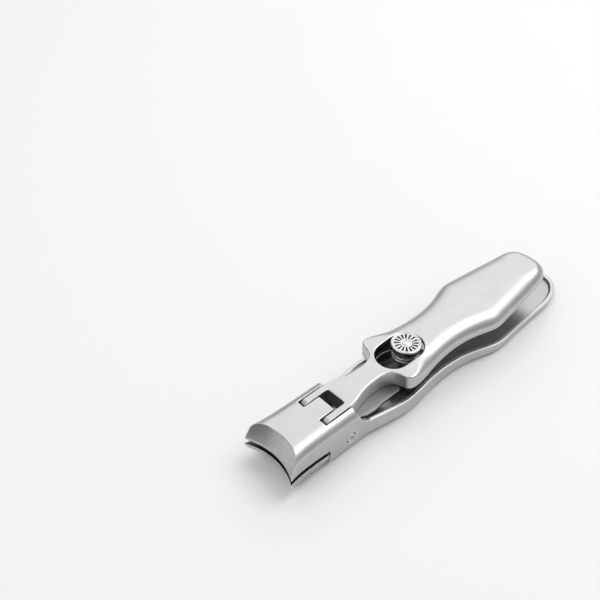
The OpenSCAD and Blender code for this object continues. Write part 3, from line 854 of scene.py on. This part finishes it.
def add_world():
    """A room that is brightest overhead and to the right, with a plain pale backdrop."""
    world = bpy.data.worlds.new("studio")
    bpy.context.scene.world = world
    world.use_nodes = True
    tree = world.node_tree
    along, aside = WORLD_RIGHT

    def node(kind, *inputs):
        new = tree.nodes.new(kind)
        for socket, value in zip(new.inputs, inputs):
            if isinstance(value, bpy.types.NodeSocket):
                tree.links.new(value, socket)
            else:
                socket.default_value = value
        return new

    def combine(operation, a, b):
        new = node("ShaderNodeMath", a, b)
        new.operation = operation
        return new.outputs[0]

    place = node("ShaderNodeSeparateXYZ", node("ShaderNodeTexCoord").outputs["Generated"])
    x, y, z = place.outputs
    right = combine("SUBTRACT", combine("MULTIPLY", x, along), combine("MULTIPLY", y, aside))
    tones = node("ShaderNodeValToRGB", combine("ADD", combine("MAXIMUM", right, 0), z))
    ends = tones.color_ramp.elements
    ends[0].position, ends[1].position = WORLD_TONES[0][0], WORLD_TONES[-1][0]
    for position, _ in WORLD_TONES[1:-1]:
        ends.new(position)
    for stop, (_, tone) in zip(ends, WORLD_TONES):
        stop.color = (tone, tone, tone * 1.01, 1)
    seen = node("ShaderNodeMixRGB", node("ShaderNodeLightPath").outputs["Is Camera Ray"],
                tones.outputs[0], (BACKDROP_TONE, BACKDROP_TONE, BACKDROP_TONE, 1))
    tree.links.new(seen.outputs[0], tree.nodes["Background"].inputs["Color"])


add_camera()
add_floor()
add_world()
for softbox in SOFTBOXES:
    add_softbox(*softbox)
add_flag()
bpy.context.scene.view_settings.view_transform = "Standard"

# ---- The clipper ------------------------------------------------------------------------------
# A material for each finish; the darker dull ones are painted shade
satin = satin_steel()
ground_face = ground_steel("ground_face", (1, 1, 30), 0.26, 0.32, 0.0000008)
blade_steel = ground_steel("blade_steel", (1, 18, 1))
# Painted shade: the lever's underside and the plate under its neck, darker than the finished steel.
under_lever_painted_shade = dull_painted_shade_steel("under_lever_painted_shade", 0.24, 0.3)
# Painted shade, near black: the jaw's upper side in the slit and the knob's ray grooves.
black_painted_shade = dull_painted_shade_steel("black_painted_shade", 0.05, 0.09)
# Painted shade: the inside of the head and the tray, a little darker than the outside.
tray_painted_shade = dull_painted_shade_steel("tray_painted_shade", 0.4, 0.44, 0.26, 0.32, 0)
# Painted shade, near black: the walls of the knob's opening in the lever.
opening_painted_shade = dull_painted_shade_steel("opening_painted_shade", 0.1, 0.14)
knob_steel = turned_steel("knob_steel", 0.5, 0.58, 0.18, 0.28)
post_steel = turned_steel("post_steel", 0.5, 0.6, 0.22, 0.32)
springy = dark_spring_steel()
# Painted shade, near black: the rail and its rivets in the tray under the lever.
rail_painted_shade = dull_painted_shade_steel("rail_painted_shade", 0.1, 0.14)


def front_face(s, y, z):
    """The upper jaw's ground front."""
    return hollow_ground(s, y, z, FACE_LEAN, CORNER_Z + LAND)


def jaw_upper_side(s, y, z):
    """The jaw's upper side, seen in the slit under the upper jaw; its tone is painted near black as
    shade.
    """
    return np.where(s < 9.9, z - ramp(s, -1, 9.95, JAW_TOP + 0.09, 3.2), 1)


def jaw_plate_top(s, y, z):
    """The upper side of the plate under the lever's neck."""
    return np.where(s > 17, z - PLATE_TOP, 1)


# The pieces: each has the box that it lies in, its grid step, and what it stands for
carve("frame_pressing", frame_field, (-0.1, -8.1, 0), (82, 8.1, 9.2), 0.12, "frame",
      ["frame_shell"], satin, keep=0.32,
      faces_like=[(front_face, ground_face), (frame_hollow, tray_painted_shade)])
carve("lever_pressing", lever_field, (11.1, -7.5, 5), (75.9, 7.5, 9.2), 0.13, "lever",
      ["thumb_lever"], satin, keep=0.4, level=True,
      faces_like=[(lever_opening, opening_painted_shade), (lever_hollow, under_lever_painted_shade)])
carve("jaw_forging", jaw_field, (-0.1, -6.6, 1), (29.7, 6.6, 6), 0.09, "lever",
      ["lower_jaw"], blade_steel, keep=0.35, level=True,
      faces_like=[(jaw_upper_side, black_painted_shade), (jaw_plate_top, under_lever_painted_shade)])
carve("keyhole_leaf", keyhole_field, (29.2, -6, 6.1), (39.6, 6, 6.6), 0.08, "lever",
      ["keyhole_spring"], springy, keep=0.4, level=True)
carve("rail_channel", rail_field, (29.7, -4.2, 0.8), (39.3, 4.2, 2.6), 0.1, "frame",
      ["slide_rail"], rail_painted_shade, keep=0.4)
carve("pin_turned", pin_field, (14.4, -5.7, 2), (17, 5.7, 4.5), 0.07, "frame",
      ["pivot_pin"], satin, keep=0.4)
# The ray grooves are painted near black as the shade in their recesses.
carve("knob_disc", cap_field, (KNOB_S - 3.1, -3.1, 8.3), (KNOB_S + 3.1, 3.1, 10.6), 0.055, "knob",
      ["knob_cap"], knob_steel, keep=0.5, faces_like=[(ray_grooves, black_painted_shade)])
carve("knob_rings", collar_field, (KNOB_S - 2.8, -2.8, 7.1), (KNOB_S + 2.8, 2.8, 8.5), 0.07, "knob",
      ["knob_collar"], knob_steel, keep=0.5)
carve("post_riveted", post_field, (KNOB_S - 1.3, -1.3, 1.3), (KNOB_S + 1.3, 1.3, 10.7), 0.07, "knob",
      ["knob_post"], post_steel, keep=0.5)
carve("foot_plate", foot_field, (KNOB_S - 2.3, -2, 1.3), (KNOB_S + 2.3, 2, 2), 0.08, "knob",
      ["slide_foot"], post_steel, keep=0.4)

for node, material in [("pivot_washer_left", springy), ("pivot_washer_right", springy),
                       ("rail_rivets", rail_painted_shade), ("lever_spring", springy), ("drag_spring", springy)]:
    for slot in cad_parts[node].material_slots:
        slot.material = material
